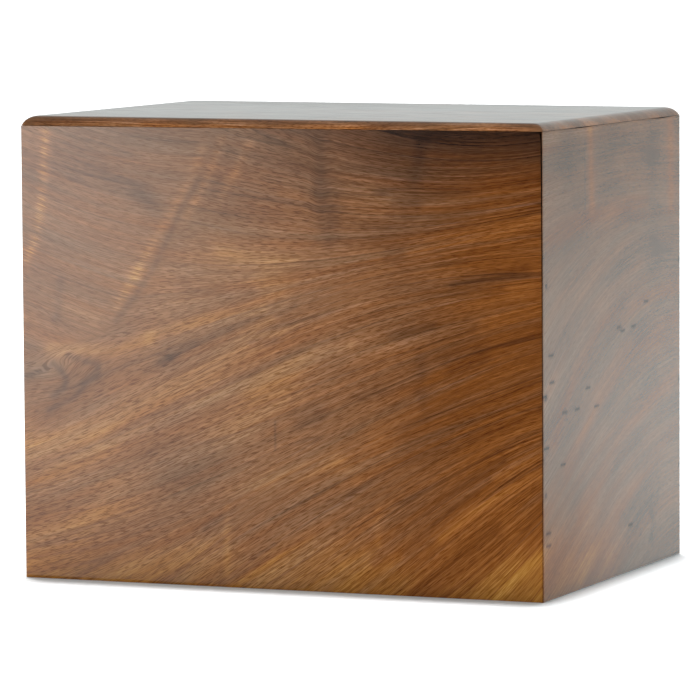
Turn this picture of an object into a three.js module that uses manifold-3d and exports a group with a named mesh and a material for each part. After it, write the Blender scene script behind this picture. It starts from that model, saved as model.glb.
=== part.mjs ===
// Cremation urn box: four mitred boards, a base board let into them, and a lift-off lid
// with a rounded edge. Millimetres, +Z up, the front faces -Y, and the origin is in the
// middle of the underside.
import * as THREE from "three";
import { mergeVertices } from "three/addons/utils/BufferGeometryUtils.js";
import Module from "manifold-3d";

// Driving dimensions
const WIDTH = 220;
const DEPTH = 160;
const HEIGHT = 183.5;
const STOCK = 12; // every board is planed to this thickness
const LIP = 3.6; // how much of the lid's thickness shows above the walls

// Edges: how far the sandpaper and the router took each one back
const CORNER_EASE = 0.8; // radius along the upright corners
const EDGE_RADIUS = 5.5; // of the cutter that ran round the lid's top edge
const LID_CORNER = 1.2; // radius of the lid's corners, seen from above

// Fits: the gaps between the boards
const SEAM = 0.25; // between the walls' top edges and the lid
const MITRE_GAP = 0.2; // between two walls, square to the mitre
const MITRE_OPENED = 0.35; // how much more the front right mitre has opened at its top
const LID_PLAY = 0.5; // all round the part of the lid that drops between the walls
const BASE_PLAY = 0.3; // all round the base board and above it

// How finely the curves are cut
const CORNER_STEPS = 3;
const ROUND_STEPS = 8;

// Worked out from the dimensions above
const WALL_HEIGHT = HEIGHT - LIP - SEAM;
const REBATE_WIDTH = STOCK / 2;
const REBATE_HEIGHT = STOCK + BASE_PLAY;
const OVERCUT = 5; // how far a cutter runs past the wood

const wasm = await Module();
wasm.setup();

// The closed solid that a geometry encloses.
function solidOf(geometry) {
  const bare = geometry.clone();
  bare.deleteAttribute("normal");
  bare.deleteAttribute("uv");
  const merged = mergeVertices(bare);
  const mesh = new wasm.Mesh({
    numProp: 3,
    vertProperties: new Float32Array(merged.attributes.position.array),
    triVerts: new Uint32Array(merged.index.array),
  });
  return new wasm.Manifold(mesh);
}

// The faceted geometry of a solid.
function geometryOf(solid) {
  const mesh = solid.getMesh();
  const indexed = new THREE.BufferGeometry();
  indexed.setAttribute("position", new THREE.BufferAttribute(mesh.vertProperties, 3));
  indexed.setIndex(new THREE.BufferAttribute(mesh.triVerts, 1));
  const geometry = indexed.toNonIndexed();
  geometry.computeVertexNormals();
  return geometry;
}

// A box between two corners, for cutting.
function cutter(low, high) {
  const size = high.map((value, axis) => value - low[axis]);
  const middle = high.map((value, axis) => (value + low[axis]) / 2);
  return new THREE.BoxGeometry(...size).translate(...middle);
}

// An upright prism of an outline from low to high.
function prism(outline, low, high) {
  const geometry = new THREE.ExtrudeGeometry(outline, {
    depth: high - low,
    curveSegments: CORNER_STEPS,
    bevelEnabled: false,
  });
  return geometry.translate(0, 0, low);
}

// A rectangle centred on the origin, with square corners or with corners of a given radius.
function rectangle(width, depth, radius = 0) {
  const x = width / 2;
  const y = depth / 2;
  const outline = new THREE.Shape();
  if (radius === 0) {
    outline.setFromPoints([[-x, -y], [x, -y], [x, y], [-x, y]].map((p) => new THREE.Vector2(...p)));
    return outline;
  }
  outline.absarc(-x + radius, -y + radius, radius, Math.PI, 1.5 * Math.PI);
  outline.absarc(x - radius, -y + radius, radius, 1.5 * Math.PI, 2 * Math.PI);
  outline.absarc(x - radius, y - radius, radius, 0, 0.5 * Math.PI);
  outline.absarc(-x + radius, y - radius, radius, 0.5 * Math.PI, Math.PI);
  outline.closePath();
  return outline;
}

// A wall seen from above: its outer face lies on y = 0, both ends are mitred at 45 degrees,
// and the tip of each mitre is half of an eased corner.
function wallOutline(length) {
  const half = length / 2;
  const inner = half - MITRE_GAP / Math.SQRT2 - STOCK;
  const centre = half - CORNER_EASE;
  const square = -Math.PI / 2;
  const tip = -Math.PI / 4 - Math.asin(MITRE_GAP / (2 * CORNER_EASE));
  const outline = new THREE.Shape();
  outline.moveTo(inner, STOCK);
  outline.lineTo(-inner, STOCK);
  outline.absarc(-centre, CORNER_EASE, CORNER_EASE, -Math.PI - tip, square);
  outline.absarc(centre, CORNER_EASE, CORNER_EASE, square, tip);
  outline.closePath();
  return outline;
}

// A mitred wall with a rebate for the base board along its lower inner edge. Its right end
// may lean back from the mitre by opened at the top.
function wall(length, opened) {
  const board = prism(wallOutline(length), 0, WALL_HEIGHT);
  const points = board.attributes.position;
  for (let i = 0; i < points.count; i += 1) {
    const leanBack = points.getX(i) > 0 ? (opened * points.getZ(i)) / WALL_HEIGHT : 0;
    points.setX(i, points.getX(i) - leanBack);
  }
  const rebate = cutter(
    [-length, STOCK - REBATE_WIDTH, -OVERCUT],
    [length, STOCK + OVERCUT, REBATE_HEIGHT],
  );
  return geometryOf(solidOf(board).subtract(solidOf(rebate)));
}

// The base board lies in the walls' rebates, level with their lower edges.
function baseBoard() {
  const inset = 2 * (STOCK - REBATE_WIDTH + BASE_PLAY);
  const board = prism(rectangle(WIDTH - inset, DEPTH - inset), 0, STOCK);
  return geometryOf(solidOf(board));
}

// The lid's lip in cross-section, drawn out along Y: a flat top between two arcs, which meet
// the lip's lower face at a slope because the cutter was set high.
function shoulders(span, length) {
  const slope = Math.acos(1 - LIP / EDGE_RADIUS);
  const flat = span / 2 - EDGE_RADIUS * Math.sin(slope);
  const centre = HEIGHT - EDGE_RADIUS;
  const top = Math.PI / 2;
  const outline = new THREE.Shape();
  outline.absarc(flat, centre, EDGE_RADIUS, top - slope, top);
  outline.absarc(-flat, centre, EDGE_RADIUS, top, top + slope);
  outline.closePath();
  const geometry = new THREE.ExtrudeGeometry(outline, {
    depth: length,
    curveSegments: ROUND_STEPS,
    bevelEnabled: false,
  });
  return geometry.translate(0, 0, -length / 2).rotateX(Math.PI / 2);
}

// The lid is a board rounded over along its top edge and rebated below, so that its lip
// rests on the walls and the rest of its thickness drops between them.
function lid() {
  const past = 2 * OVERCUT;
  const across = solidOf(shoulders(WIDTH, DEPTH + past));
  const along = solidOf(shoulders(DEPTH, WIDTH + past).rotateZ(Math.PI / 2));
  const corners = solidOf(prism(rectangle(WIDTH, DEPTH, LID_CORNER), 0, HEIGHT + OVERCUT));
  const inset = 2 * (STOCK + LID_PLAY);
  const drop = prism(rectangle(WIDTH - inset, DEPTH - inset), HEIGHT - STOCK, HEIGHT - LIP / 2);
  return geometryOf(across.intersect(along).intersect(corners).add(solidOf(drop)));
}

// One board of the box, with its own colour and lacquer.
function board(name, geometry, colour, roughness) {
  const material = new THREE.MeshStandardMaterial({ color: colour, roughness, metalness: 0 });
  const mesh = new THREE.Mesh(geometry, material);
  mesh.name = name;
  return mesh;
}

// Roughness of the lacquered outside and of bare, sanded wood
const LACQUERED = 0.3;
const BARE = 0.7;

const urnBox = new THREE.Group();
urnBox.name = "urn_box";

// Each wall is built lying along X and then turned by quarter turns to its own side.
const WALLS = [
  { name: "front_wall", length: WIDTH, x: 0, y: -DEPTH / 2, colour: "#8a5a36" },
  { name: "right_wall", length: DEPTH, x: WIDTH / 2, y: 0, colour: "#8c6a50" },
  { name: "back_wall", length: WIDTH, x: 0, y: DEPTH / 2, colour: "#84553a" },
  { name: "left_wall", length: DEPTH, x: -WIDTH / 2, y: 0, colour: "#85583a" },
];
WALLS.forEach(({ name, length, x, y, colour }, quarterTurns) => {
  const opened = name === "front_wall" ? MITRE_OPENED : 0;
  const mesh = board(name, wall(length, opened), colour, LACQUERED);
  mesh.rotation.z = (quarterTurns * Math.PI) / 2;
  mesh.position.set(x, y, 0);
  urnBox.add(mesh);
});
urnBox.add(board("base_board", baseBoard(), "#9c7450", BARE));
urnBox.add(board("lid", lid(), "#8a5638", LACQUERED));

export default urnBox;
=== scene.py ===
# %% [markdown]
# # A cremation urn box in lacquered sheesham
# The real object is a plain box of six hardwood boards: four walls that meet in mitres, a base let into
# them, and a lid that lifts off. Nothing is carved or fitted, so the wood itself is the whole look: its
# sweeping grain, its pores, the curl where a branch left the trunk, and a clear satin lacquer over it.
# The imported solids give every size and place. The boards below are finer copies of them, with eased edges
# and with enough points to carry the figure of the wood.

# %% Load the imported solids
import math

import bpy
import numpy as np
from mathutils import Matrix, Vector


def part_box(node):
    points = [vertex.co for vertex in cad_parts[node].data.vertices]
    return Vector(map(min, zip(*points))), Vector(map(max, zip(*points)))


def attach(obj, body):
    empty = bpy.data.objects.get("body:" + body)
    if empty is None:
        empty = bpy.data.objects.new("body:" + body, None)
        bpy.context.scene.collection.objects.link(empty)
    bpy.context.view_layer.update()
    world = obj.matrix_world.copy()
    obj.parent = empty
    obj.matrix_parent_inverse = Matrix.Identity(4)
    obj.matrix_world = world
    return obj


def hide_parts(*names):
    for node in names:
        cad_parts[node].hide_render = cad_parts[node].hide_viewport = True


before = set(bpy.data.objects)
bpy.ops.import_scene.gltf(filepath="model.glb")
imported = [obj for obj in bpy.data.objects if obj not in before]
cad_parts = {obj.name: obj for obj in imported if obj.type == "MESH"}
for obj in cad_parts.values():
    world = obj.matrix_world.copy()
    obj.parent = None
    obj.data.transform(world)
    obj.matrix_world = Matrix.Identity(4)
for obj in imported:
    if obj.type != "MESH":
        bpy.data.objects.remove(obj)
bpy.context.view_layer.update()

MM = 0.001  # sizes below are in millimetres, and Blender works in metres
lid_low, lid_high = (np.array(corner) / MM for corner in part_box("lid"))
wall_low, wall_high = (np.array(corner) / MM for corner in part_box("front_wall"))
base_low, base_high = (np.array(corner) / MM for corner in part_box("base_board"))
WIDTH, DEPTH = lid_high[0] - lid_low[0], lid_high[1] - lid_low[1]
HEIGHT = lid_high[2]
STOCK = wall_high[1] - wall_low[1]
print(f"box {WIDTH:.1f} x {DEPTH:.1f} x {HEIGHT:.1f} mm, boards {STOCK:.1f} mm thick")

# %% [markdown]
# ## The camera
# The photograph was taken with a long lens from about two metres away, a little to the right of the front
# and a little above the box. The corners of the box in the picture fix the place, the turn and the lens.
# With a long lens the upright edges stay almost parallel, which is why the lens matters as much as the place.

# %% Place the camera
CAMERA_PLACE = (0.7856, -1.8804, 0.2644)  # metres, from the middle of the underside
CAMERA_TURN = 22.75  # degrees to the left of straight ahead
CAMERA_DIP = 4.966  # degrees below level
CAMERA_ROLL = -0.35  # degrees, because the picture leans a little
LENS = 261.2  # mm
SENSOR = 36  # mm wide

camera_data = bpy.data.cameras.new("camera")
camera_data.sensor_width = SENSOR
camera_data.lens = LENS
camera = bpy.data.objects.new("camera", camera_data)
bpy.context.scene.collection.objects.link(camera)
camera.matrix_world = (
    Matrix.Translation(CAMERA_PLACE)
    @ Matrix.Rotation(math.radians(CAMERA_TURN), 4, "Z")
    @ Matrix.Rotation(math.radians(90 - CAMERA_DIP), 4, "X")
    @ Matrix.Rotation(math.radians(CAMERA_ROLL), 4, "Z")
)
bpy.context.scene.camera = camera
print(f"camera {math.dist(CAMERA_PLACE, (0, 0, 0)):.2f} m away, {LENS} mm lens")

# %% [markdown]
# ## The walls
# A wall is a planed board, rebated along its lower inner edge for the base and mitred at both ends. A cube
# with a bevel would give the outline, but the figure of the wood needs points to hang on. So each wall is
# lofted: one cross-section is repeated at many stations along the board, and the deeper a point lies in the
# board, the shorter its row is, which makes both mitres at once.

# %% Sizes of a wall that the solids don't state
AIR_UNDER_LID = 0.25  # the solids keep this much air between the walls and the lid
LID_LINE = 0.08  # the boards keep this much, which shows as a dark line
WALL_TOP = wall_high[2] + AIR_UNDER_LID - LID_LINE
CORNER_EASE = 0.8  # radius sanded along the upright corners
FOOT_EASE = 0.5  # radius sanded along the bottom edge
BROW_EASE = 0.15  # radius sanded along the top edge
EASE_STEPS = 4
MITRE_GAP = 0.08  # the solids keep more air between the walls, which the boards nearly close
REBATE_WIDTH = STOCK / 2
BASE_PLAY = 0.3  # air above the base board
REBATE_HEIGHT = base_high[2] + BASE_PLAY
print(f"walls {WALL_TOP:.2f} mm high, with a rebate of {REBATE_WIDTH:.1f} x {REBATE_HEIGHT:.1f} mm")

# %% The cross-section and the stations of a wall
FINE = 0.8  # spacing of the points on the two boards that show best
COARSE = 2.5  # spacing on the other two


def wall_section(spacing):
    """Points (depth below the outer face, height), going up the outer face and down the inner one."""
    turn = np.linspace(0, math.pi / 2, EASE_STEPS + 1)
    rows = np.arange(FOOT_EASE + spacing, WALL_TOP - BROW_EASE - spacing / 2, spacing)
    foot = np.column_stack([FOOT_EASE * (1 - np.sin(turn)), FOOT_EASE * (1 - np.cos(turn))])
    face = np.column_stack([np.zeros_like(rows), rows])
    brow = np.column_stack([BROW_EASE * (1 - np.cos(turn)), WALL_TOP - BROW_EASE * (1 - np.sin(turn))])
    inside = [
        (STOCK, WALL_TOP),
        (STOCK, REBATE_HEIGHT),
        (STOCK - REBATE_WIDTH, REBATE_HEIGHT),
        (STOCK - REBATE_WIDTH, 0),
    ]
    return np.vstack([foot, face, brow, inside])


def wall_stations(length, spacing):
    """Places along the outer face from its middle, and how far each has turned in round the corner."""
    flat = length / 2 - CORNER_EASE
    last = math.pi / 4 - math.asin(MITRE_GAP / (2 * CORNER_EASE))
    turn = np.linspace(0, last, EASE_STEPS + 1)[1:]
    middle = np.linspace(-flat, flat, int(round(2 * flat / spacing)) + 1)
    tip = flat + CORNER_EASE * np.sin(turn)
    depth = CORNER_EASE * (1 - np.cos(turn))
    along = np.concatenate([-tip[::-1], middle, tip])
    return along, np.concatenate([depth[::-1], np.zeros_like(middle), depth])


print(len(wall_section(FINE)), "points round the front wall,", len(wall_stations(WIDTH, FINE)[0]), "stations")

# %% Loft a wall
SHARP_ANGLE = 40  # degrees; an edge that bends more than this stays sharp
DIP_REACH = 1.0  # how far below the top edge a wall gives way where that edge has sunk


def loft(name, points, inner_segments):
    """A closed mesh through points[station, place in section], with the inner segments on a second slot."""
    stations, places = points.shape[:2]
    number = np.arange(stations * places).reshape(stations, places)
    ahead = np.roll(number, -1, axis=1)
    sides = np.stack([number[:-1], number[1:], ahead[1:], ahead[:-1]], axis=-1)
    slots = np.tile(np.isin(np.arange(places), inner_segments), stations - 1)
    faces = sides.reshape(-1, 4).tolist() + [number[0].tolist(), number[-1, ::-1].tolist()]
    mesh = bpy.data.meshes.new(name)
    mesh.from_pydata((points.reshape(-1, 3) * MM).tolist(), [], faces)
    mesh.polygons.foreach_set("material_index", slots.astype(int).tolist() + [0, 0])
    mesh.shade_smooth()
    mesh.set_sharp_from_angle(angle=math.radians(SHARP_ANGLE))
    piece = bpy.data.objects.new(name, mesh)
    bpy.context.scene.collection.objects.link(piece)
    return piece


def wall_board(name, length, quarter_turns, spacing, opened=None, dipped=None):
    """A wall in its place, with each point's place on the board: along from its left edge, and up.

    opened says how far the right end has drawn back at a height, and dipped how far the top edge lies
    below the lid at a place along the board.
    """
    section = wall_section(spacing)
    along, turned_in = wall_stations(length, spacing)
    depth = np.maximum(section[None, :, 0], turned_in[:, None])
    reach = length / 2 - MITRE_GAP / math.sqrt(2) - np.maximum(section[:, 0], turned_in[-1])
    share = along[:, None] / along[-1]
    x = share * reach
    up = np.broadcast_to(section[None, :, 1], depth.shape).copy()
    if opened:
        x = x - opened(up) * (1 + share) / 2
    if dipped:
        up -= dipped(x + length / 2) * np.clip((up - WALL_TOP) / DIP_REACH + 1, 0, 1)
    turn = quarter_turns * math.pi / 2
    y = depth - (DEPTH if quarter_turns % 2 == 0 else WIDTH) / 2
    turned_x = x * math.cos(turn) - y * math.sin(turn)
    turned_y = x * math.sin(turn) + y * math.cos(turn)
    deep = section[:, 0] >= STOCK - REBATE_WIDTH
    inner_segments = np.flatnonzero(deep & np.roll(deep, -1))
    piece = loft(name, np.stack([turned_x, turned_y, up], axis=-1), inner_segments)
    return piece, (x + length / 2).ravel(), up.ravel()


# %% [markdown]
# Wood moves as it dries. The mitre at the front right has opened towards its top and lost a chip there, and
# the right wall's top edge has sunk a little in two places, so the line under the lid is dark there. Both
# are real gaps, so they are made in the shape and not painted on.

# %% The four walls
MITRE_OPENED = 0.35  # at the top of the front right mitre
MITRE_CLOSED_BELOW = 100  # height at which that gap ends
CHIP = (0.5, 2.0)  # how far a chip at the top widens the gap, and how tall it is
SUNK = ((0.22, 44, 12), (0.28, 136, 9))  # depth, place along the board and half width of each sunk stretch


def mitre_opening(up):
    rise = np.clip((up - MITRE_CLOSED_BELOW) / (WALL_TOP - MITRE_CLOSED_BELOW), 0, 1)
    return MITRE_OPENED * rise + CHIP[0] * np.exp(-(((WALL_TOP - up) / CHIP[1]) ** 2))


def sunk_edge(along):
    return sum(depth * np.exp(-(((along - place) / half) ** 2)) for depth, place, half in SUNK)


front, front_along, front_up = wall_board("front_board", WIDTH, 0, FINE, opened=mitre_opening)
right, right_along, right_up = wall_board("right_board", DEPTH, 1, FINE, dipped=sunk_edge)
back, back_along, back_up = wall_board("back_board", WIDTH, 2, COARSE)
left, left_along, left_up = wall_board("left_board", DEPTH, 3, COARSE)
for board in (front, right, back, left):
    print(board.name, len(board.data.polygons), "faces")

# %% [markdown]
# ## The lid and the base
# A cutter with a round profile was run along all four sides of the lid. It was set high, so its arc meets
# the lip's lower face at a slope. Below the lip a rebate was cut, and the middle of the lid drops between the
# walls. A stack of rings does this: every ring is the lid's outline seen from above, drawn in by some amount
# at some height. The base is a plain stack of four. The lid was planed by hand and is not quite even, so its
# top is tilted by a few tenths of a millimetre.

# %% Make a board from rings
LIP = HEIGHT - wall_high[2] - AIR_UNDER_LID  # what shows of the lid's thickness
lip_level = HEIGHT - LIP
BOARD_CORNER = 1.2  # radius of the lid's and the base's corners, seen from above
CORNER_STEPS = 5
SIDE_STEPS = 40  # points along each side, so that its ends can differ from its middle


def ring(width, depth, radius):
    """A rectangle with round corners, seen from above, as points counter-clockwise from the front left."""
    turn = np.linspace(0, math.pi / 2, CORNER_STEPS + 1)
    corners = [(-1, -1), (1, -1), (1, 1), (-1, 1)]
    arcs = []
    for number, (side_x, side_y) in enumerate(corners):
        angle = math.pi + number * math.pi / 2 + turn
        x = side_x * (width / 2 - radius) + radius * np.cos(angle)
        y = side_y * (depth / 2 - radius) + radius * np.sin(angle)
        arcs.append(np.column_stack([x, y]))
    outline = []
    for arc, following in zip(arcs, arcs[1:] + arcs[:1]):
        outline += [arc, np.linspace(arc[-1], following[0], SIDE_STEPS + 1)[1:-1]]
    return np.vstack(outline)


def ringed_board(name, width, depth, profile, taper=(0, 0)):
    """A closed board through rings drawn in by an amount at a height, from the lowest to the highest.

    taper says how much its top rises for each millimetre to the right and to the back.
    """
    rings = []
    for drawn_in, height in profile:
        outline = ring(width - 2 * drawn_in, depth - 2 * drawn_in, BOARD_CORNER)
        rings.append(np.column_stack([outline, np.full(len(outline), height)]))
    points = np.array(rings)
    share = np.clip((points[..., 2] - lip_level) / LIP, 0, 1)
    points[..., 2] += share * (points[..., :2] @ taper)
    return loft(name, points, [])


print(f"{LIP:.2f} mm of the lid shows, {len(ring(WIDTH, DEPTH, BOARD_CORNER))} points in a ring")

# %% Shape the lid and the base
EDGE_RADIUS = 5.5  # of the cutter's arc
ROUND_STEPS = 14
LID_PLAY = 0.5  # air all round the part that drops between the walls
LID_RISE = (-0.4, 0.2)  # how much higher the lid's top lies at its right and at its back

edge_slope = math.acos(1 - LIP / EDGE_RADIUS)
edge_width = EDGE_RADIUS * math.sin(edge_slope)
drop_in = STOCK + LID_PLAY
lid_profile = [
    (drop_in + FOOT_EASE, HEIGHT - STOCK),
    (drop_in, HEIGHT - STOCK + FOOT_EASE),
    (drop_in, lip_level),
]
for slope in np.linspace(edge_slope, 0, ROUND_STEPS + 1):
    drawn_in = edge_width - EDGE_RADIUS * math.sin(slope)
    lid_profile.append((drawn_in, HEIGHT - EDGE_RADIUS * (1 - math.cos(slope))))
lid_taper = np.array(LID_RISE) / (WIDTH / 2, DEPTH / 2)
lid = ringed_board("lid_board", WIDTH, DEPTH, lid_profile, lid_taper)

base_profile = [(FOOT_EASE, 0), (0, FOOT_EASE), (0, STOCK - FOOT_EASE), (FOOT_EASE, STOCK)]
base_width, base_depth = (base_high - base_low)[:2]
base = ringed_board("base_board_bare", base_width, base_depth, base_profile)
print("lid", len(lid.data.polygons), "faces, base", len(base.data.polygons), "faces")

# %% [markdown]
# ## The run of the grain
# On the front the grain sweeps up to the right, gently at the left and steeply in the lower right corner,
# and near the top it dips and rises again. A straight noise texture can't do that. So a few grain lines are
# given by their heights at stations across the board, as a joiner would sketch them, and every point of the
# board is numbered by how many millimetres of wood lie between it and the lowest line. That number, and the
# distance along the board, are what the wood's texture is stretched over.

# %% Grain lines of the front and of the right wall
FRONT_STATIONS = (0, 45, 90, 130, 175, 220)
FRONT_LINES = (
    (-150, -135, -118, -100, -72, -30),
    (-112, -98, -82, -62, -30, 18),
    (-88, -70, -48, -20, 17, 51),
    (-50, -32, -8, 22, 49, 70),
    (-28, -6, 23, 44, 65, 82),
    (4, 19, 38, 57, 78, 95),
    (31, 47, 64, 81, 98, 112),
    (54, 74, 93, 110, 121, 128),
    (79, 95, 110, 121, 131, 139),
    (120, 126, 126, 127, 136, 145),
    (150, 152, 147, 140, 144, 151),
    (176, 176, 170, 159, 159, 163),
    (200, 200, 194, 181, 177, 179),
    (226, 226, 220, 206, 200, 202),
)
RIGHT_STATIONS = (0, 40, 80, 120, 160)
RIGHT_LINES = (
    (-70, -52, -35, -20, -12),
    (-44, -28, -10, 6, 14),
    (-20, -4, 16, 33, 38),
    (19, 37, 51, 61, 69),
    (51, 69, 90, 100, 104),
    (79, 103, 119, 124, 125),
    (112, 128, 137, 140, 140),
    (145, 150, 153, 152, 150),
    (170, 172, 173, 173, 172),
    (195, 195, 195, 195, 195),
)
print(len(FRONT_LINES), "grain lines on the front,", len(RIGHT_LINES), "on the right")


# %% Number the points across the grain
def across_grain(along, up, stations, lines):
    """Millimetres of wood below each point, counted across the grain lines."""
    lines = np.array(lines, float)
    curves = np.polyfit(stations, lines.T, len(stations) - 2)  # a degree low enough to smooth each line
    heights = [np.polyval(curve, along) for curve in curves.T]
    steps = np.exp(np.log(np.diff(lines, axis=0)).mean(axis=1))  # the usual space between two lines
    level = np.zeros_like(along)
    for low, high, step in zip(heights, heights[1:], steps):
        level += step * np.clip((up - low) / (high - low), 0, 1)
    return level


def right_run(along, up):
    return across_grain(along, up, RIGHT_STATIONS, RIGHT_LINES)


right_levels = right_run(right_along, right_up)
print(f"the right wall has {np.ptp(right_levels):.0f} mm of wood across its grain")

# %% [markdown]
# ## Where the branch left the trunk
# In the upper left of the front the grain falls to the right instead, as it does where a branch grew. The two
# runs meet along a seam, and at the left end of the seam sits a small knot, which the grain flows around.
# Further right, near the top, the grain kinks as it crosses an upright fold in the wood.
# The branch gets its own numbering, and a soft mask says which of the two runs a point belongs to. The boards
# that the photograph doesn't show get plain, gently waving grain.

# %% The run of the grain on the front, the back and the left
KNOT_PLACE = (18, 80)
KNOT_SIZE = (14, 6)
KNOT_LIFT = 3.0  # how far the grain lines bulge over the knot
FOLD_PLACE = (128, 160)
FOLD_SIZE = (3.5, 22)
FOLD_LIFT = 1.2


def mound(along, up, place, size):
    """A soft round mound of height 1."""
    return np.exp(-(((along - place[0]) / size[0]) ** 2) - ((up - place[1]) / size[1]) ** 2)


def front_run(along, up):
    level = across_grain(along, up, FRONT_STATIONS, FRONT_LINES)
    level += KNOT_LIFT * mound(along, up, KNOT_PLACE, KNOT_SIZE)
    return level + FOLD_LIFT * mound(along, up, FOLD_PLACE, FOLD_SIZE)


def waving_run(fall, swing, stretch):
    """A run that falls by a share of its way to the right and swings up and down by some millimetres."""

    def run(along, up):
        return up + fall * along + swing * np.sin(along / stretch)

    return run


branch_run = waving_run(fall=0.20, swing=5, stretch=30)
back_run = waving_run(fall=-0.10, swing=4, stretch=45)
left_run = waving_run(fall=0.16, swing=3, stretch=35)
front_levels = front_run(front_along, front_up)
print(f"the front wall has {np.ptp(front_levels):.0f} mm of wood across its grain")

# %% How crowded the grain is, and where the branch meets the trunk
SEAM_HEIGHTS = (84, 92, 98, 118, 145, 179)
SEAM_PLACES = (-10, 12, 35, 55, 70, 84)
SEAM_SOFT = 1.8
SEAM_STARTS_OVER = 8  # height within which the branch sets in above the seam's lower end
CROWDING_STEP = 0.5  # half the distance over which crowding is measured
CROWDING_LIMITS = (0.2, 8)


def crowding(run, along, up):
    """How often the run's numbering doubles against true millimetres: 0 is true, 1 is twice as dense."""
    slope_along = run(along + CROWDING_STEP, up) - run(along - CROWDING_STEP, up)
    slope_up = run(along, up + CROWDING_STEP) - run(along, up - CROWDING_STEP)
    density = np.hypot(slope_along, slope_up) / (2 * CROWDING_STEP)
    return np.log2(np.clip(density, *CROWDING_LIMITS))


seam = np.interp(front_up, SEAM_HEIGHTS, SEAM_PLACES)
meeting = 1 / (1 + np.exp((front_along - seam) / SEAM_SOFT))
meeting *= np.clip((front_up - SEAM_HEIGHTS[0]) / SEAM_STARTS_OVER, 0, 1)
front_crowding = crowding(front_run, front_along, front_up)
print(f"branch covers {meeting.mean():.0%} of the front board's points")
print(f"front grain crowding from {front_crowding.min():.1f} to {front_crowding.max():.1f}")

# %% [markdown]
# ## Ribbons, smudges and flecks
# Where the fibres dip into the board it looks darker, and where they lean the other way it looks lighter. On
# this board that gives curl ribbons across the grain, dark lines that hook round the knot, and some smudges.
# The right board has short blue black flecks where the lacquer has sunk in, and along its edges the filled
# holes of the pins that hold the mitres. An image could carry all this, but strokes stay sharp at any size.
# Each stroke has soft edges and a tone that is added to the wood under it.


# %% Draw strokes on a board
def stroke(along, up, points, half_width):
    """How fully a soft stroke through the points covers each place on the board, from 0 to 1."""
    nearest = np.full_like(along, np.inf)
    for (x0, z0), (x1, z1) in zip(points, points[1:]):
        dx, dz = x1 - x0, z1 - z0
        share = np.clip(((along - x0) * dx + (up - z0) * dz) / (dx * dx + dz * dz), 0, 1)
        nearest = np.minimum(nearest, np.hypot(along - x0 - share * dx, up - z0 - share * dz))
    return np.exp(-((nearest / half_width) ** 2))


def toned(along, up, strokes):
    """The sum of all strokes at each place, each one given as (tone, half width, points)."""
    return sum(tone * stroke(along, up, points, width) for tone, width, points in strokes)


# %% Strokes on the front
# Each stroke is its tone, its half width, and its points as places along and up the board.
FRONT_RIBBONS = (
    (0.20, 2.4, ((11, 179), (10, 165), (9, 150), (7, 138), (2, 126))),
    (0.12, 2.4, ((79, 172), (74, 160), (66, 148), (58, 136), (51, 124), (42, 110))),
    (0.13, 2.0, ((87, 176), (83, 165), (79, 157), (72, 145))),
    (0.12, 2.0, ((99, 174), (94, 165), (87, 153))),
)
FRONT_LIGHTS = (
    (0.17, 4.0, ((12, 91), (40, 92), (55, 96))),
    (0.08, 2.0, ((55, 98), (80, 105), (104, 110))),
    (0.08, 3.5, ((86, 132), (106, 128), (126, 130), (152, 131))),
    (0.05, 3.0, ((106, 128), (118, 128))),
    (0.12, 6.0, ((143, 152), (153, 152))),
    (0.06, 4.0, ((115, 156), (120, 154))),
    (0.12, 2.4, ((166, 133), (178, 137), (198, 141), (220, 147))),
    (0.10, 1.8, ((172, 151), (200, 156), (220, 158))),
    (0.10, 3.5, ((208, 119), (220, 124))),
    (0.09, 2.5, ((196, 107), (220, 114))),
    (0.07, 5.0, ((144, 93), (156, 96))),
    (0.06, 6.0, ((150, 66), (154, 57))),
    (0.07, 6.0, ((136, 50), (142, 47))),
    (0.05, 4.0, ((98, 78), (120, 90), (140, 96))),
    (0.07, 1.6, ((88, 4), (88, 32))),
    (0.06, 1.6, ((152, 34), (152, 20))),
    (0.13, 2.0, ((178, 23), (190, 33), (202, 41), (220, 50))),
    (0.13, 3.0, ((199, 0), (208, 9), (220, 18))),
    (0.12, 60.0, ((45, 60), (110, 75))),
    (0.24, 22.0, ((0, 0), (220, 0))),
    (0.10, 26.0, ((216, 0), (216, 16))),
    (0.07, 16.0, ((60, 108), (104, 118))),
    (0.08, 16.0, ((80, 70), (106, 82))),
    (0.06, 14.0, ((80, 136), (106, 138))),
    (0.10, 16.0, ((5, 45), (30, 48))),
    (0.09, 16.0, ((95, 42), (150, 52))),
    (0.08, 25.0, ((45, 125), (125, 130))),
    (0.06, 14.0, ((80, 12), (104, 14))),
)
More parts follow.
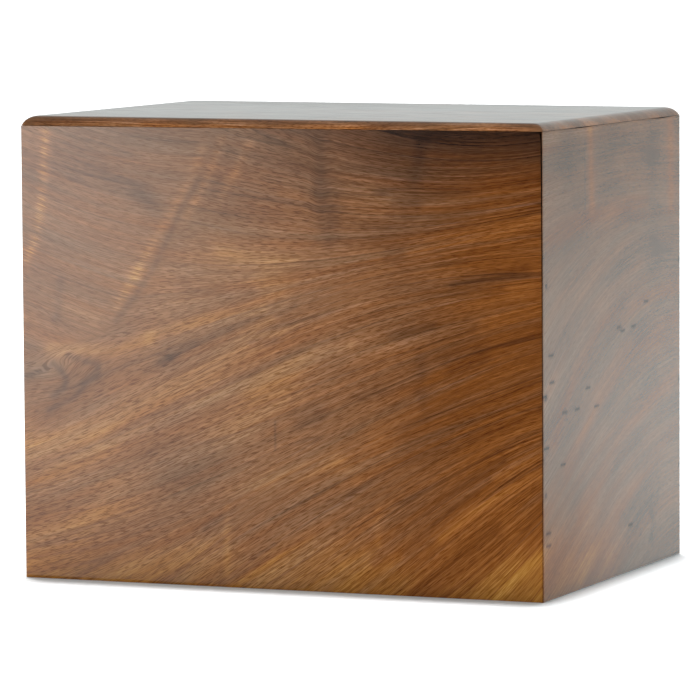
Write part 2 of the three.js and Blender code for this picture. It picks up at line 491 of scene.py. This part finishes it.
FRONT_SHADES = (
    (-0.11, 1.5, ((76, 158), (70, 149), (64, 137), (57, 124), (49, 113), (41, 104))),
    (-0.06, 3.5, ((15, 170), (32, 162), (56, 152))),
    (-0.07, 4.5, ((52, 154), (60, 146))),
    (-0.06, 3.0, ((8, 138), (27, 128), (44, 124))),
    (-0.10, 2.0, ((17, 119), (15, 104))),
    (-0.07, 2.0, ((66, 118), (86, 115), (100, 117))),
    (-0.18, 1.5, ((2, 81), (11, 84), (13, 86), (17, 83), (19, 80), (18, 76), (13, 73))),
    (-0.15, 1.4, ((20, 89), (33, 86), (33, 83), (28, 79), (23, 73), (11, 67))),
    (-0.10, 4.5, ((9, 66), (20, 74), (32, 79))),
    (-0.16, 3.6, ((61, 88), (64, 89))),
    (-0.08, 2.6, ((64, 90), (74, 95))),
    (-0.07, 3.0, ((128, 176), (129, 160))),
    (-0.12, 5.0, ((129, 154), (132, 147), (132, 138))),
    (-0.36, 22.0, ((165, 184), (222, 184))),
    (-0.12, 6.0, ((108, 181), (222, 181))),
    (-0.09, 3.0, ((171, 177), (170, 170), (168, 160))),
    (-0.11, 4.0, ((120, 67), (127, 70))),
    (-0.08, 1.4, ((183, 121), (198, 125), (214, 128))),
    (-0.09, 2.0, ((158, 101), (175, 105))),
    (-0.10, 5.0, ((183, 90), (194, 94))),
    (-0.07, 3.0, ((170, 92), (171, 74))),
    (-0.05, 2.5, ((143, 77), (168, 81))),
    (-0.08, 1.6, ((150, 12), (166, 27), (186, 43), (204, 54))),
    (-0.12, 1.6, ((163, 17), (180, 32), (198, 46))),
    (-0.13, 4.0, ((168, 0), (184, 12), (200, 26))),
    (-0.06, 1.8, ((140, 38), (160, 49), (182, 60), (210, 70))),
    (-0.08, 1.6, ((78, 23), (88, 29))),
    (-0.10, 1.2, ((99, 12), (108, 18))),
    (-0.06, 6.0, ((62, 42), (88, 50))),
    (-0.10, 1.2, ((110, 107), (118, 111))),
    (-0.10, 1.2, ((99, 96), (109, 98))),
    (-0.05, 6.0, ((90, 146), (104, 144))),
    (-0.18, 0.5, ((109, 55), (109, 66))),
    (-0.04, 14.0, ((118, 168), (138, 168))),
)
FRONT_DARKENS = 0.05  # from its left to its right end
MITRE_SHADE = 0.5  # how much darker the faces of the open mitre are painted, as painted shade in the narrow gap

front_ribbon = toned(front_along, front_up, FRONT_RIBBONS)
front_tone = toned(front_along, front_up, FRONT_LIGHTS + FRONT_SHADES)
front_tone -= FRONT_DARKENS * front_along / WIDTH
mitre_rim = len(wall_section(FINE))  # the points of a wall's last station lie on its mitre
# painted shade on the front board's face of the open mitre
front_tone[-mitre_rim:] -= MITRE_SHADE
print(f"front tones from {front_tone.min():.2f} to {front_ribbon.max():.2f}")

# %% Strokes and spots on the right
RIGHT_SHADES = (
    (0.10, 4.0, ((53, 178), (55, 148))),
    (-0.08, 12.0, ((28, 178), (30, 150))),
    (-0.08, 11.0, ((75, 178), (76, 160))),
    (-0.10, 9.0, ((126, 178), (128, 132))),
    (0.08, 5.0, ((148, 176), (149, 145))),
    (-0.14, 0.5, ((47, 148), (47, 175))),
    (-0.14, 2.5, ((124, 22), (127, 17), (124, 11))),
    (0.14, 24.0, ((5, 4), (70, 0))),
)
RIGHT_GLOWS = (
    (0.6, 4.0, ((12, 60), (35, 86), (65, 101), (117, 109), (159, 111))),
    (0.6, 4.5, ((26, 48), (61, 71), (97, 87), (154, 96))),
    (0.5, 4.5, ((41, 31), (84, 53), (121, 66), (154, 74))),
    (0.4, 4.0, ((84, 26), (116, 39), (154, 52))),
    (0.5, 5.0, ((6, 137), (36, 143), (74, 146), (118, 147))),
    (0.7, 18.0, ((0, 8), (70, 4))),
    (0.6, 4.0, ((53, 178), (55, 148))),
    (0.6, 5.0, ((148, 176), (149, 145))),
)
GLOW_TONE = 0.08  # how much lighter than the rest the fullest golden stripe is
RIGHT_FLECKS = (
    (9, 94), (10, 84), (2, 79), (50, 78), (38, 71), (60, 70), (24, 71), (4, 59), (22, 51), (99, 19), (86, 99),
    (90, 97), (103, 98), (6, 26), (6, 21), (118, 107),
)
FLECK_LONG = 2.2  # half the length of a fleck
FLECK_WIDE = 0.6  # half its width
RIGHT_PINS = ((4, 121), (3, 78), (3, 41), (158.4, 121), (158.4, 72), (158.4, 37))
PIN_SIZE = 1.1
SPOT_TONE = 0.4  # how much darker flecks and pin holes are than the wood around them

right_glow = toned(right_along, right_up, RIGHT_GLOWS)
right_tone = toned(right_along, right_up, RIGHT_SHADES) + GLOW_TONE * right_glow
right_spots = np.zeros_like(right_tone)
for x, height in RIGHT_FLECKS:
    z = FOOT_EASE + FINE * round((height - FOOT_EASE) / FINE)  # the nearest row of points
    right_spots += stroke(right_along, right_up, ((x - FLECK_LONG, z), (x + FLECK_LONG, z)), FLECK_WIDE)
for place in RIGHT_PINS:
    right_spots += mound(right_along, right_up, place, (PIN_SIZE, PIN_SIZE))
# painted shade on the right board's face of the open mitre
right_tone[:mitre_rim] -= MITRE_SHADE
right_tone -= SPOT_TONE * right_spots
print(f"right tones from {right_tone.min():.2f} to {right_tone.max():.2f}")

# %% [markdown]
# ## What every point knows about its wood
# The finish needs to know where in the wood a point lies and how the wood is there, so each board carries
# numbers on its points. tone makes the wood lighter or darker, and golden turns it from brown to gold.
# banded, streaked, ringed and pored say how strongly a layer of the grain shows. film says how much of the
# lacquer lies on the wood, and sunk how far it has gone into the streaks. All of these change slowly over
# a board, so points can carry them, and the fine grain itself is left to the texture.


# %% Store numbers on a board
def store(piece, **numbers):
    """Give every point of a board some vectors and numbers."""
    count = len(piece.data.vertices)
    for name, values in numbers.items():
        if np.ndim(values) == 2:
            layer = piece.data.attributes.new(name, "FLOAT_VECTOR", "POINT")
            layer.data.foreach_set("vector", values.astype(np.float32).ravel())
        else:
            layer = piece.data.attributes.new(name, "FLOAT", "POINT")
            layer.data.foreach_set("value", np.broadcast_to(values, count).astype(np.float32).copy())


def sawn(run, along, up, log_place):
    """Place along the log, number across the grain, and crowding. Every run has its own place in the log."""
    return np.column_stack([along + log_place, run(along, up), crowding(run, along, up)])


# Millimetres along the log, so far apart that no two boards look alike
LOG_PLACES = dict(front=1000, branch=1500, right=2000, back=3000, left=4000, lid=5000, base=6000)
PLAIN = dict(tone=0.0, golden=0.5, banded=1.0, streaked=1.4, ringed=0.1, pored=0.7, film=1.0, sunk=0.0)
store(back, grain=sawn(back_run, back_along, back_up, LOG_PLACES["back"]), **PLAIN)
store(left, grain=sawn(left_run, left_along, left_up, LOG_PLACES["left"]), **PLAIN)
print("plain grain on", back.name, "and", left.name)

# %% Numbers of the front and the right wall
FRONT_CHANGES = {  # places along the front, and the number at each
    "golden": ((0, 90, 130, 165, 200), (0.35, 0.22, 0.3, 0.6, 1.0)),
    "banded": ((70, 160), (0.65, 0.45)),
    "streaked": ((60, 200), (0.9, 1.8)),
    "ringed": ((60, 200), (0.08, 0.16)),
    "pored": ((60, 200), (0.95, 0.55)),
}
FOOT_PAINTED_LIGHT = (0.3, 40)  # how much more golden the foot of the front is painted, as painted light against the shade near the floor, and up to what height
CRISP_PLACE = (200, 155)  # the upper right has the clearest streaks
CRISP_SIZE = (60, 35)
CRISP_GAIN = 0.35
KNOT_CLOSED = 0.3  # how much weaker the pores are in the knot
BRANCH_CLOSED = 0.4  # and in the branch
RIGHT_GOLD = 0.25  # how golden the right wall is beside its golden stripes
RIGHT_FILM = (0.86, 0.14)  # the lacquer at the near end, and what the far end has more
SHEEN_SHADE_PLACE = (0, 5)  # less lacquer is given at the near foot, as painted shade that dims its reflection there
SHEEN_SHADE_SIZE = (60, 40)
SHEEN_SHADE = 0.30
SPOT_DRY = 0.22  # how much of it has sunk into flecks and pin holes

front_numbers = {name: np.interp(front_along, *change) for name, change in FRONT_CHANGES.items()}
# painted light: the foot is made more golden where less light reaches it near the floor
front_numbers["golden"] += FOOT_PAINTED_LIGHT[0] * np.clip(1 - front_up / FOOT_PAINTED_LIGHT[1], 0, 1)
front_numbers["streaked"] *= 1 + CRISP_GAIN * mound(front_along, front_up, CRISP_PLACE, CRISP_SIZE)
front_numbers["pored"] *= 1 - KNOT_CLOSED * mound(front_along, front_up, KNOT_PLACE, KNOT_SIZE)
front_numbers["pored"] *= 1 - BRANCH_CLOSED * meeting
front_numbers.update(tone=front_tone, ribbon=front_ribbon, meeting=meeting, film=1.0, sunk=0.0)
front_numbers["grain"] = sawn(front_run, front_along, front_up, LOG_PLACES["front"])
front_numbers["branch"] = sawn(branch_run, front_along, front_up, LOG_PLACES["branch"])
store(front, **front_numbers)

right_film = RIGHT_FILM[0] + RIGHT_FILM[1] * right_along / DEPTH - SPOT_DRY * right_spots
# painted shade in the lacquer's reflection: less coat at the near foot
right_film -= SHEEN_SHADE * mound(right_along, right_up, SHEEN_SHADE_PLACE, SHEEN_SHADE_SIZE)
store(
    right,
    grain=sawn(right_run, right_along, right_up, LOG_PLACES["right"]),
    tone=right_tone,
    golden=RIGHT_GOLD + right_glow,
    banded=0.9,
    streaked=0.6,
    ringed=0.04,
    pored=0.35,
    film=right_film,
    sunk=0.0,
)
print(f"lacquer on the right from {right_film.min():.2f} to {right_film.max():.2f}")

# %% [markdown]
# The grain of the lid runs from left to right. Along its front and back edges the cutter went with the
# fibres and laid the streaks open, and at its ends it cut across them, which leaves a duller end grain.

# %% Numbers of the lid and the base
FLAT_TOP = dict(tone=-0.25, golden=0.45, banded=0.9, streaked=0.8, ringed=0.08, pored=0.5)
LONG_EDGE = dict(tone=0.08, golden=0.55, banded=1.2, streaked=3.6, ringed=0.30, pored=1.0)
END_EDGE = dict(tone=0.02, golden=0.35, banded=1.2, streaked=0.4, ringed=0.04, pored=0.3)
UNDERSIDE = {**FLAT_TOP, "tone": 0.0}
SHORTER = 1.8  # the lid's streaks are shorter than the walls' by this factor
LID_FILM = 0.95
LID_SUNK = 1.0
TOUCH = 0.01  # heights closer than this count as the same

for piece, log_place in ((lid, LOG_PLACES["lid"]), (base, LOG_PLACES["base"])):
    x, y, z = (np.array([tuple(vertex.co) for vertex in piece.data.vertices]) / MM).T
    below_top = np.clip((z.max() - z) / LIP, 0, 1)
    end_grain = np.clip((np.abs(x) - x.max() + 2 * LIP) / LIP, 0, 1)
    numbers = {}
    for name, flat in FLAT_TOP.items():
        edge = LONG_EDGE[name] + end_grain * (END_EDGE[name] - LONG_EDGE[name])
        lower = np.where(z > lip_level - TOUCH, edge, UNDERSIDE[name])
        numbers[name] = flat + below_top * (lower - flat)
    place = np.column_stack([SHORTER * x + log_place, y + z, np.zeros_like(x)])
    store(piece, grain=place, film=LID_FILM, sunk=LID_SUNK, **numbers)
    print(piece.name, f"end grain on {np.count_nonzero(end_grain)} of {len(x)} points")

# %% [markdown]
# ## Sheesham, the wood
# Sheesham, or Indian rosewood, is brown with a golden cast. Planed along the trunk it shows broad bands from
# the growth rings, streaks from a few millimetres down to hairlines, and pores that are cut open into dark
# dashes. Each of these is a noise texture, stretched along the grain and squeezed across it to its real size.
# Where grain lines crowd together a stretched texture would get finer and finer, but real fibres and pores
# keep their size. So the fine layers are drawn at two scales, a factor of two apart, and the crowding chooses
# between them.


# %% One function adds a node
def add(tree, kind, inputs=(), out=0, **settings):
    """Add a shader node with its settings, set or link its inputs, and return one of its outputs."""
    made = tree.nodes.new("ShaderNode" + kind)
    for name, value in settings.items():
        setattr(made, name, value)
    pairs = inputs.items() if isinstance(inputs, dict) else enumerate(inputs)
    for socket, value in pairs:
        if isinstance(value, bpy.types.NodeSocket):
            tree.links.new(value, made.inputs[socket])
        else:
            made.inputs[socket].default_value = value
    return made.outputs[out]


def open_group(name, inputs, outputs):
    """An empty node group, what it is given, and the sockets that wait for what it makes."""
    group = bpy.data.node_groups.new(name, "ShaderNodeTree")
    for in_out, sockets in (("INPUT", inputs), ("OUTPUT", outputs)):
        for socket, kind in sockets.items():
            group.interface.new_socket(socket, in_out=in_out, socket_type="NodeSocket" + kind)
    return group, group.nodes.new("NodeGroupInput").outputs, group.nodes.new("NodeGroupOutput").inputs


# %% A noise that can be stretched
LATTICE_TURN = 0.6  # radians; turned like this, the rows of the noise don't line up with the board
sockets = {"Place": "Vector", "Scale": "Vector", "Detail": "Float", "Roughness": "Float"}
stretched, given, wanted = open_group("stretched noise", sockets, {"Height": "Float"})
inputs = {"Vector": given["Place"], "Scale": given["Scale"], "Rotation": (0, 0, LATTICE_TURN)}
scaled = add(stretched, "Mapping", inputs)
inputs = {"Vector": scaled, "Scale": 1.0, "Detail": given["Detail"], "Roughness": given["Roughness"]}
cloud = add(stretched, "TexNoise", inputs, out="Fac", noise_dimensions="2D")
around_zero = add(stretched, "Math", (cloud, 0.5), operation="SUBTRACT")
stretched.links.new(around_zero, wanted["Height"])
print("stretched noise has", len(stretched.nodes), "nodes")

# %% The layers of the grain
LAYERS = {  # length along the grain and width across it in mm, then detail and roughness of the noise
    "wander": (130, 45, 0.0, 0.5),  # no run of grain is quite even
    "bands": (320, 20, 2.0, 0.5),  # growth rings, cut at a low angle
    "mottle": (40, 13, 1.0, 0.5),
    "hues": (90, 6.0, 3.0, 0.6),  # streaks that differ in hue rather than in depth
    "rings": (260, 9, 1.0, 0.5),
    "streaks": (60, 1.1, 2.0, 0.9),  # the widest ones; finer octaves go down to hairlines
    "pores": (3.8, 0.27, 0.0, 0.5),  # wider than real ones, 0.1 to 0.2 mm, so that they show
}
WANDER_BY = 6.0  # mm
BAND_TONE = 0.36
MOTTLE_TONE = 0.33
RING_LINE = 0.025  # the dark line that ends a growth ring lies where the noise is this close to zero
PORE_RIM = 0.02  # heights of the noise at which a pore sets in and is full
PORE_HEART = 0.22
SCALES_MEET = (0.25, 0.75)  # between two doublings, where the coarser scale gives way to the finer

layers = {
    name: {"Scale": (1 / length, 1 / width, 0), "Detail": detail, "Roughness": roughness}
    for name, (length, width, detail, roughness) in LAYERS.items()
}
print("grain layers:", ", ".join(layers))


# %% The grain as a node group
def sheesham_grain():
    """A node group that turns a place in the wood into the layers of its grain."""
    outputs = dict.fromkeys(("Tone", "Hue", "Rings", "Streaks", "Pores"), "Float")
    group, given, wanted = open_group("sheesham grain", {"Grain": "Vector"}, outputs)
    along, level, crowd = add(group, "SeparateXYZ", (given["Grain"],)).node.outputs
    wander = add(group, "Group", {"Place": given["Grain"], **layers["wander"]}, node_tree=stretched)
    level = add(group, "Math", (wander, WANDER_BY, level), operation="MULTIPLY_ADD")
    place = add(group, "CombineXYZ", (along, level))
    broad = {}
    for name in ("bands", "mottle", "hues", "rings"):
        broad[name] = add(group, "Group", {"Place": place, **layers[name]}, node_tree=stretched)
    tone = add(group, "Math", (broad["bands"], BAND_TONE), operation="MULTIPLY")
    tone = add(group, "Math", (broad["mottle"], MOTTLE_TONE, tone), operation="MULTIPLY_ADD")
    edge = add(group, "Math", (broad["rings"],), operation="ABSOLUTE")
    rings = add(group, "MapRange", (edge, RING_LINE, 0.0), interpolation_type="SMOOTHSTEP")

    doublings = add(group, "Math", (crowd,), operation="FLOOR")
    between = add(group, "Math", (crowd, doublings), operation="SUBTRACT")
    between = add(group, "MapRange", (between, *SCALES_MEET), interpolation_type="SMOOTHSTEP")
    fine = {"Streaks": [], "Pores": []}
    for finer in (0, 1):
        times = add(group, "Math", (doublings, finer), operation="ADD")
        shrink = add(group, "Math", (0.5, times), operation="POWER")
        true_level = add(group, "Math", (level, shrink), operation="MULTIPLY")
        place = add(group, "CombineXYZ", (along, true_level))
        streaks = add(group, "Group", {"Place": place, **layers["streaks"]}, node_tree=stretched)
        cloud = add(group, "Group", {"Place": place, **layers["pores"]}, node_tree=stretched)
        pores = add(group, "MapRange", (cloud, PORE_RIM, PORE_HEART), interpolation_type="SMOOTHSTEP")
        fine["Streaks"].append(streaks)
        fine["Pores"].append(pores)

    made = {"Tone": tone, "Hue": broad["hues"], "Rings": rings}
    for name, (coarser, finer) in fine.items():
        inputs = {"Factor": between, "A": coarser, "B": finer}
        made[name] = add(group, "Mix", inputs, out="Result", data_type="FLOAT")
    for name, socket in made.items():
        group.links.new(socket, wanted[name])
    return group


grain_group = sheesham_grain()
print("grain group has", len(grain_group.nodes), "nodes")

# %% [markdown]
# ## Lacquered and bare sheesham
# The outside was planed, sanded and sprayed with a clear satin lacquer. To the eye that gives deep, warm
# wood under a smooth film that mirrors the room softly, most of all at a low angle. The film is amber where
# it is thick: it fills the pores, so they look like dark honey rather than black. On the lid it has sunk
# into the streaks, and on the right wall less of it is given at the near foot, as painted shade that dims its
# reflection there. The inside and the base were only sanded, which leaves them dull. A coat over a diffuse
# wood does all this. The wood's own shine is off under the lacquer, because the film has nearly the same
# index as the wood, and only the outer surface reflects.


# %% Colours of sheesham
def linear(hex_colour):
    """An sRGB hex colour as linear RGBA."""
    channels = [int(hex_colour[i : i + 2], 16) / 255 for i in (1, 3, 5)]
    return [c / 12.92 if c <= 0.04045 else ((c + 0.055) / 1.055) ** 2.4 for c in channels] + [1.0]


BROWN = ("#2e1b10", "#5c402a", "#846144", "#bb9468")  # pores, dark streaks, light streaks, curl
GOLD = ("#2a1408", "#60330f", "#885222", "#c08a3c")
STOPS = (0.0, 0.35, 0.65, 1.0)  # tones of these four
MIDDLE = 0.5  # the tone of wood that is neither light nor dark
AMBER = "#bca678"  # what white looks like through the lacquer in a full pore
HUE_WEIGHT = 1.4  # how far a streak of another hue turns the wood golden or brown
STREAK_TONE = 0.18  # how much a streak changes the tone as well
RUNGS = (3.0, 0.8)  # a ribbon is crossed by streaks like rungs: their contrast, and the light between them
PORE_DEPTH = 0.06  # mm that are left of a pore under the lacquer
print("dark streaks of brown sheesham, linear:", [round(channel, 3) for channel in linear(BROWN[1])[:3]])

# %% Sheesham as a material
WOOD = ("tone", "golden", "banded", "streaked", "ringed", "pored")
LACQUER = ("film", "sunk")
BRANCH = ("ribbon", "meeting")


def sheesham(name, lacquered=False, branched=False):
    """Sheesham, with its shader. A branched board has a second run of grain."""
    material = bpy.data.materials.new(name)
    material.use_nodes = True
    tree = material.node_tree
    shader = tree.nodes["Principled BSDF"]
    number = {}
    for stored in WOOD + LACQUER * lacquered + BRANCH * branched:
        number[stored] = add(tree, "Attribute", out="Fac", attribute_name=stored)

    runs = []
    for stored in ("grain", "branch") if branched else ("grain",):
        place = add(tree, "Attribute", out="Vector", attribute_name=stored)
        runs.append(add(tree, "Group", (place,), node_tree=grain_group).node.outputs)
    grain = dict(runs[0].items())
    if branched:
        for layer, trunk in grain.items():
            inputs = {"Factor": number["meeting"], "A": trunk, "B": runs[1][layer]}
            grain[layer] = add(tree, "Mix", inputs, out="Result", data_type="FLOAT")

    tone = add(tree, "Math", (grain["Tone"], number["banded"], number["tone"]), operation="MULTIPLY_ADD")
    rings = add(tree, "Math", (grain["Rings"], number["ringed"]), operation="MULTIPLY")
    tone = add(tree, "Math", (tone, rings), operation="SUBTRACT")
    tone = add(tree, "Math", (grain["Streaks"], STREAK_TONE, tone), operation="MULTIPLY_ADD")
    if branched:
        rungs = add(tree, "Math", (grain["Streaks"], *RUNGS), operation="MULTIPLY_ADD")
        tone = add(tree, "Math", (number["ribbon"], rungs, tone), operation="MULTIPLY_ADD")
    tone = add(tree, "Math", (tone, MIDDLE), operation="ADD", use_clamp=True)
    lighter = add(tree, "Math", (tone, MIDDLE), operation="SUBTRACT")
    golden = add(tree, "Math", (grain["Hue"], HUE_WEIGHT, number["golden"]), operation="MULTIPLY_ADD")
    golden = add(tree, "Math", (golden, lighter), operation="ADD", use_clamp=True)

    inputs = {"Factor": golden}
    for side, colours in (("A", BROWN), ("B", GOLD)):
        inputs[side] = add(tree, "ValToRGB", (tone,))
        elements = inputs[side].node.color_ramp.elements
        for stop in STOPS[1:-1]:
            elements.new(stop)
        for element, colour in zip(elements, colours):
            element.color = linear(colour)
    wood = add(tree, "Mix", inputs, out="Result", data_type="RGBA")

    pores = add(tree, "Math", (grain["Pores"], number["pored"]), operation="MULTIPLY")
    streaks = add(tree, "Math", (grain["Streaks"], number["streaked"]), operation="MULTIPLY")
    depth = add(tree, "Math", (pores, streaks), operation="SUBTRACT")
    passed = [add(tree, "Math", (share, depth), operation="POWER") for share in linear(AMBER)[:3]]
    film = add(tree, "CombineXYZ", passed)
    colour = add(tree, "VectorMath", (wood, film), operation="MULTIPLY")
    tree.links.new(colour, shader.inputs["Base Color"])
    if lacquered:
        inputs = (grain["Streaks"], number["sunk"], number["film"])
        weight = add(tree, "Math", inputs, operation="MULTIPLY_ADD", use_clamp=True)
        tree.links.new(weight, shader.inputs["Coat Weight"])
    inputs = {"Height": grain["Pores"], "Distance": PORE_DEPTH * MM}
    relief = add(tree, "Bump", inputs, invert=True)
    tree.links.new(relief, shader.inputs["Normal"])
    return material, shader


# %% Finish the boards
LACQUERED_SURFACE = {
    "Roughness": 0.5,
    "Specular IOR Level": 0.0,
    "Coat Roughness": 0.12,  # satin
    "Coat IOR": 1.5,  # as clear lacquers have
}
SANDED_SURFACE = {"Roughness": 0.65, "Specular IOR Level": 0.3}

lacquered, lacquered_shader = sheesham("lacquered sheesham", lacquered=True)
curly, curly_shader = sheesham("lacquered curly sheesham", lacquered=True, branched=True)
bare, bare_shader = sheesham("bare sanded sheesham")
for shader, surface in (
    (lacquered_shader, LACQUERED_SURFACE),
    (curly_shader, LACQUERED_SURFACE),
    (bare_shader, SANDED_SURFACE),
):
    for socket, value in surface.items():
        shader.inputs[socket].default_value = value
for piece, finishes in (
    (front, (curly, bare)),
    (right, (lacquered, bare)),
    (back, (lacquered, bare)),
    (left, (lacquered, bare)),
    (lid, (lacquered,)),
    (base, (bare,)),
):
    for finish in finishes:
        piece.data.materials.append(finish)
print("materials:", lacquered.name, curly.name, "and", bare.name)

# %% [markdown]
# ## Light and floor
# The box stands in a white studio. Its right side and its lid show the bright backdrop and floor at a low
# angle, which is why they look hazy. The camera's side of the room is dim, so the front keeps its deep
# colour, apart from the left part, where a soft box shows in the lacquer. The soft box fades out towards its
# right and lower edges, as one with a diffusing front does. The room could be modelled, but only its glow
# matters here, so the world paints it by direction.

# %% The studio
BACKDROP = "#e8f2f3"
BACKDROP_LEVEL = 0.86
TABLE_LEVEL = 1.75  # the table further back, as the lacquer shows it
NEAR_TABLE = 0.65  # the table near the box is dimmer by this factor
DIM = 0.06  # brightness of the room on the camera's side
OVERHEAD = 0.35
CUT_OUT = 1.2  # the photograph's background is cut out to white
TABLE_BEGINS = (-0.02, -0.11)  # from level towards straight down, which is -1
NEAR_BEGINS = (-0.10, -0.14)
BACK_BEGINS = (-0.1, 0.3)  # from the camera's side, -1, towards the back, 1
CEILING_BEGINS = (0.3, 0.8)  # towards straight up, which is 1

world = bpy.data.worlds.new("studio")
bpy.context.scene.world = world
world.use_nodes = True
sky = world.node_tree
smooth = {"interpolation_type": "SMOOTHSTEP"}
direction = add(sky, "TexCoord", out="Generated")
axes = add(sky, "SeparateXYZ", (direction,)).node.outputs
table = add(sky, "MapRange", (axes["Z"], *TABLE_BEGINS, BACKDROP_LEVEL, TABLE_LEVEL), **smooth)
near = add(sky, "MapRange", (axes["Z"], *NEAR_BEGINS, 1.0, NEAR_TABLE), **smooth)
table = add(sky, "Math", (table, near), operation="MULTIPLY")
behind = add(sky, "MapRange", (axes["Y"], *BACK_BEGINS, DIM, table), **smooth)
above = add(sky, "MapRange", (axes["Z"], *CEILING_BEGINS), **smooth)
inputs = {"Factor": above, "A": behind, "B": OVERHEAD}
room = add(sky, "Mix", inputs, out="Result", data_type="FLOAT")
seen = add(sky, "LightPath", out="Is Camera Ray")
inputs = {"Factor": seen, "A": room, "B": CUT_OUT}
level = add(sky, "Mix", inputs, out="Result", data_type="FLOAT")
background = sky.nodes["Background"]
sky.links.new(level, background.inputs["Strength"])
background.inputs["Color"].default_value = linear(BACKDROP)
print("studio painted with", len(sky.nodes), "nodes")

# %% The soft box
KEY_TURN = 42  # degrees to the left of straight ahead
KEY_AWAY = 2.0  # metres
KEY_SIZE = (1.7, 2.0)
KEY_HEIGHT = 0.35
KEY_WATTS = 45.5
KEY_FADES = (("X", 0.97, 0.78), ("Y", 0.10, 0.36))  # from dark to full, as shares of its width and height

key_data = bpy.data.lights.new("soft box", "AREA")
key_data.shape = "RECTANGLE"
key_data.size, key_data.size_y = KEY_SIZE
key_data.energy = KEY_WATTS
key_data.use_nodes = True
cloth = key_data.node_tree
across = add(cloth, "NewGeometry", out="Parametric")
sides = add(cloth, "SeparateXYZ", (across,)).node.outputs
glow = 1.0
for side, dark, full in KEY_FADES:
    fade = add(cloth, "MapRange", (sides[side], dark, full), **smooth)
    glow = add(cloth, "Math", (fade, glow), operation="MULTIPLY")
cloth.links.new(glow, cloth.nodes["Emission"].inputs["Strength"])
key = bpy.data.objects.new("soft box", key_data)
bpy.context.scene.collection.objects.link(key)
key.matrix_world = (
    Matrix.Rotation(math.radians(-KEY_TURN), 4, "Z")
    @ Matrix.Translation((0, -KEY_AWAY, KEY_HEIGHT))
    @ Matrix.Rotation(math.radians(90), 4, "X")
)
print("soft box at", tuple(round(c, 2) for c in key.matrix_world.translation))

# %% [markdown]
# A large lamp far above the table whitens the floor and leaves a thin soft shadow along the foot of the box.
# A sun lamp does that evenly over the whole floor. It stands a little behind and to the left of the box, and
# it is kept out of the lacquer, where it would draw a hard line along the lid's round edge.
# The lacquer of the real box shows a table that is dimmer than the white cut-out in the photograph, so the
# floor is kept out of reflections too, and the studio's own glow below the horizon takes its place.

# %% The lamp above
LAMP_LEAN = (-2.2, -4.6)  # degrees to the left and to the back
LAMP_STRENGTH = 4.6
LAMP_SPREAD = 7  # degrees across, seen from the table

lamp_data = bpy.data.lights.new("lamp above", "SUN")
lamp_data.energy = LAMP_STRENGTH
lamp_data.angle = math.radians(LAMP_SPREAD)
lamp = bpy.data.objects.new("lamp above", lamp_data)
bpy.context.scene.collection.objects.link(lamp)
lamp.rotation_euler = (math.radians(LAMP_LEAN[1]), math.radians(LAMP_LEAN[0]), 0)
lamp.visible_glossy = False
print("lamp above spreads over", LAMP_SPREAD, "degrees")

# %% The floor
FLOOR_REACH = 30.0  # metres to each side
PALE = "#f2f3f4"  # matt board is pressed from pulp and uncoated, so it scatters light and shows no gloss
PALE_ROUGHNESS = 0.9

pale = bpy.data.materials.new("pale matt board")
pale.use_nodes = True
pale_shader = pale.node_tree.nodes["Principled BSDF"]
pale_shader.inputs["Base Color"].default_value = linear(PALE)
pale_shader.inputs["Roughness"].default_value = PALE_ROUGHNESS
pale_shader.inputs["Specular IOR Level"].default_value = 0.0
sheet = bpy.data.meshes.new("floor")
corners = [(x * FLOOR_REACH, y * FLOOR_REACH, 0) for x, y in ((-1, -1), (1, -1), (1, 1), (-1, 1))]
sheet.from_pydata(corners, [], [(0, 1, 2, 3)])
sheet.materials.append(pale)
floor = bpy.data.objects.new("floor", sheet)
bpy.context.scene.collection.objects.link(floor)
floor.visible_glossy = False
bpy.context.scene.view_settings.view_transform = "Standard"
print("floor laid", 2 * FLOOR_REACH, "m wide")

# %% [markdown]
# ## Join the boards to the frame
# Each board stands for one imported solid, which it hides. Nothing on the box moves, so
# all of them ride on the one body.

# %% Hand over
for piece, node, slot in (
    (front, "front_wall", "lacquered_wall"),
    (right, "right_wall", "lacquered_wall"),
    (back, "back_wall", "lacquered_wall"),
    (left, "left_wall", "lacquered_wall"),
    (lid, "lid", "lacquered_lid"),
    (base, "base_board", "bare_base"),
):
    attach(piece, "root")
    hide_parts(node)
